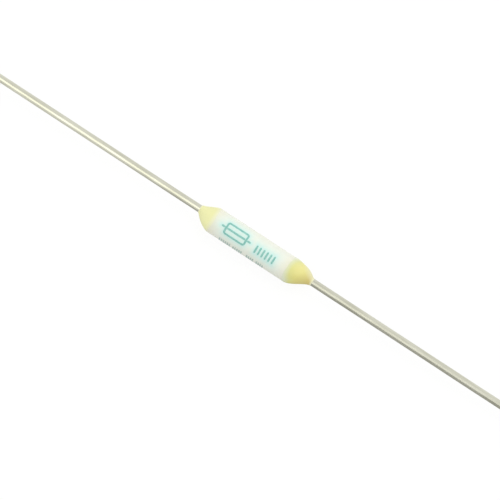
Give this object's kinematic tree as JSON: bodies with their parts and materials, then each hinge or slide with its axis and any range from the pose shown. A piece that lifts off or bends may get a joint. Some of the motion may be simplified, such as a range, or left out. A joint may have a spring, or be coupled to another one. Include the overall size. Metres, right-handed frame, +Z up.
{
  "type": "thermal fuse",
  "caption": "Axial one-shot thermal fuse: a white ceramic tube with a fusible alloy link inside, pale yellow resin seals on its ends and straight tinned copper leads.",
  "frame": {"origin": "centre of the ceramic tube, on its axis", "axes": "+X along the tube's axis towards the right lead, +Y towards the side on which the leads leave the seals off centre, +Z up, towards the viewer's side of the picture"},
  "size_m": [0.084, 0.0022, 0.0022],
  "materials": {
    "ceramic": "satin",
    "tinned_wire": "satin",
    "fusible_alloy": "satin",
    "flux": "gloss",
    "resin": "satin"
  },
  "bodies": {
    "root": {"ceramic_tube": "ceramic", "lead_left": "tinned_wire", "lead_right": "tinned_wire", "fusible_link": "fusible_alloy", "flux_coat": "flux", "seal_left": "resin", "seal_right": "resin"}
  },
  "joints": []
}
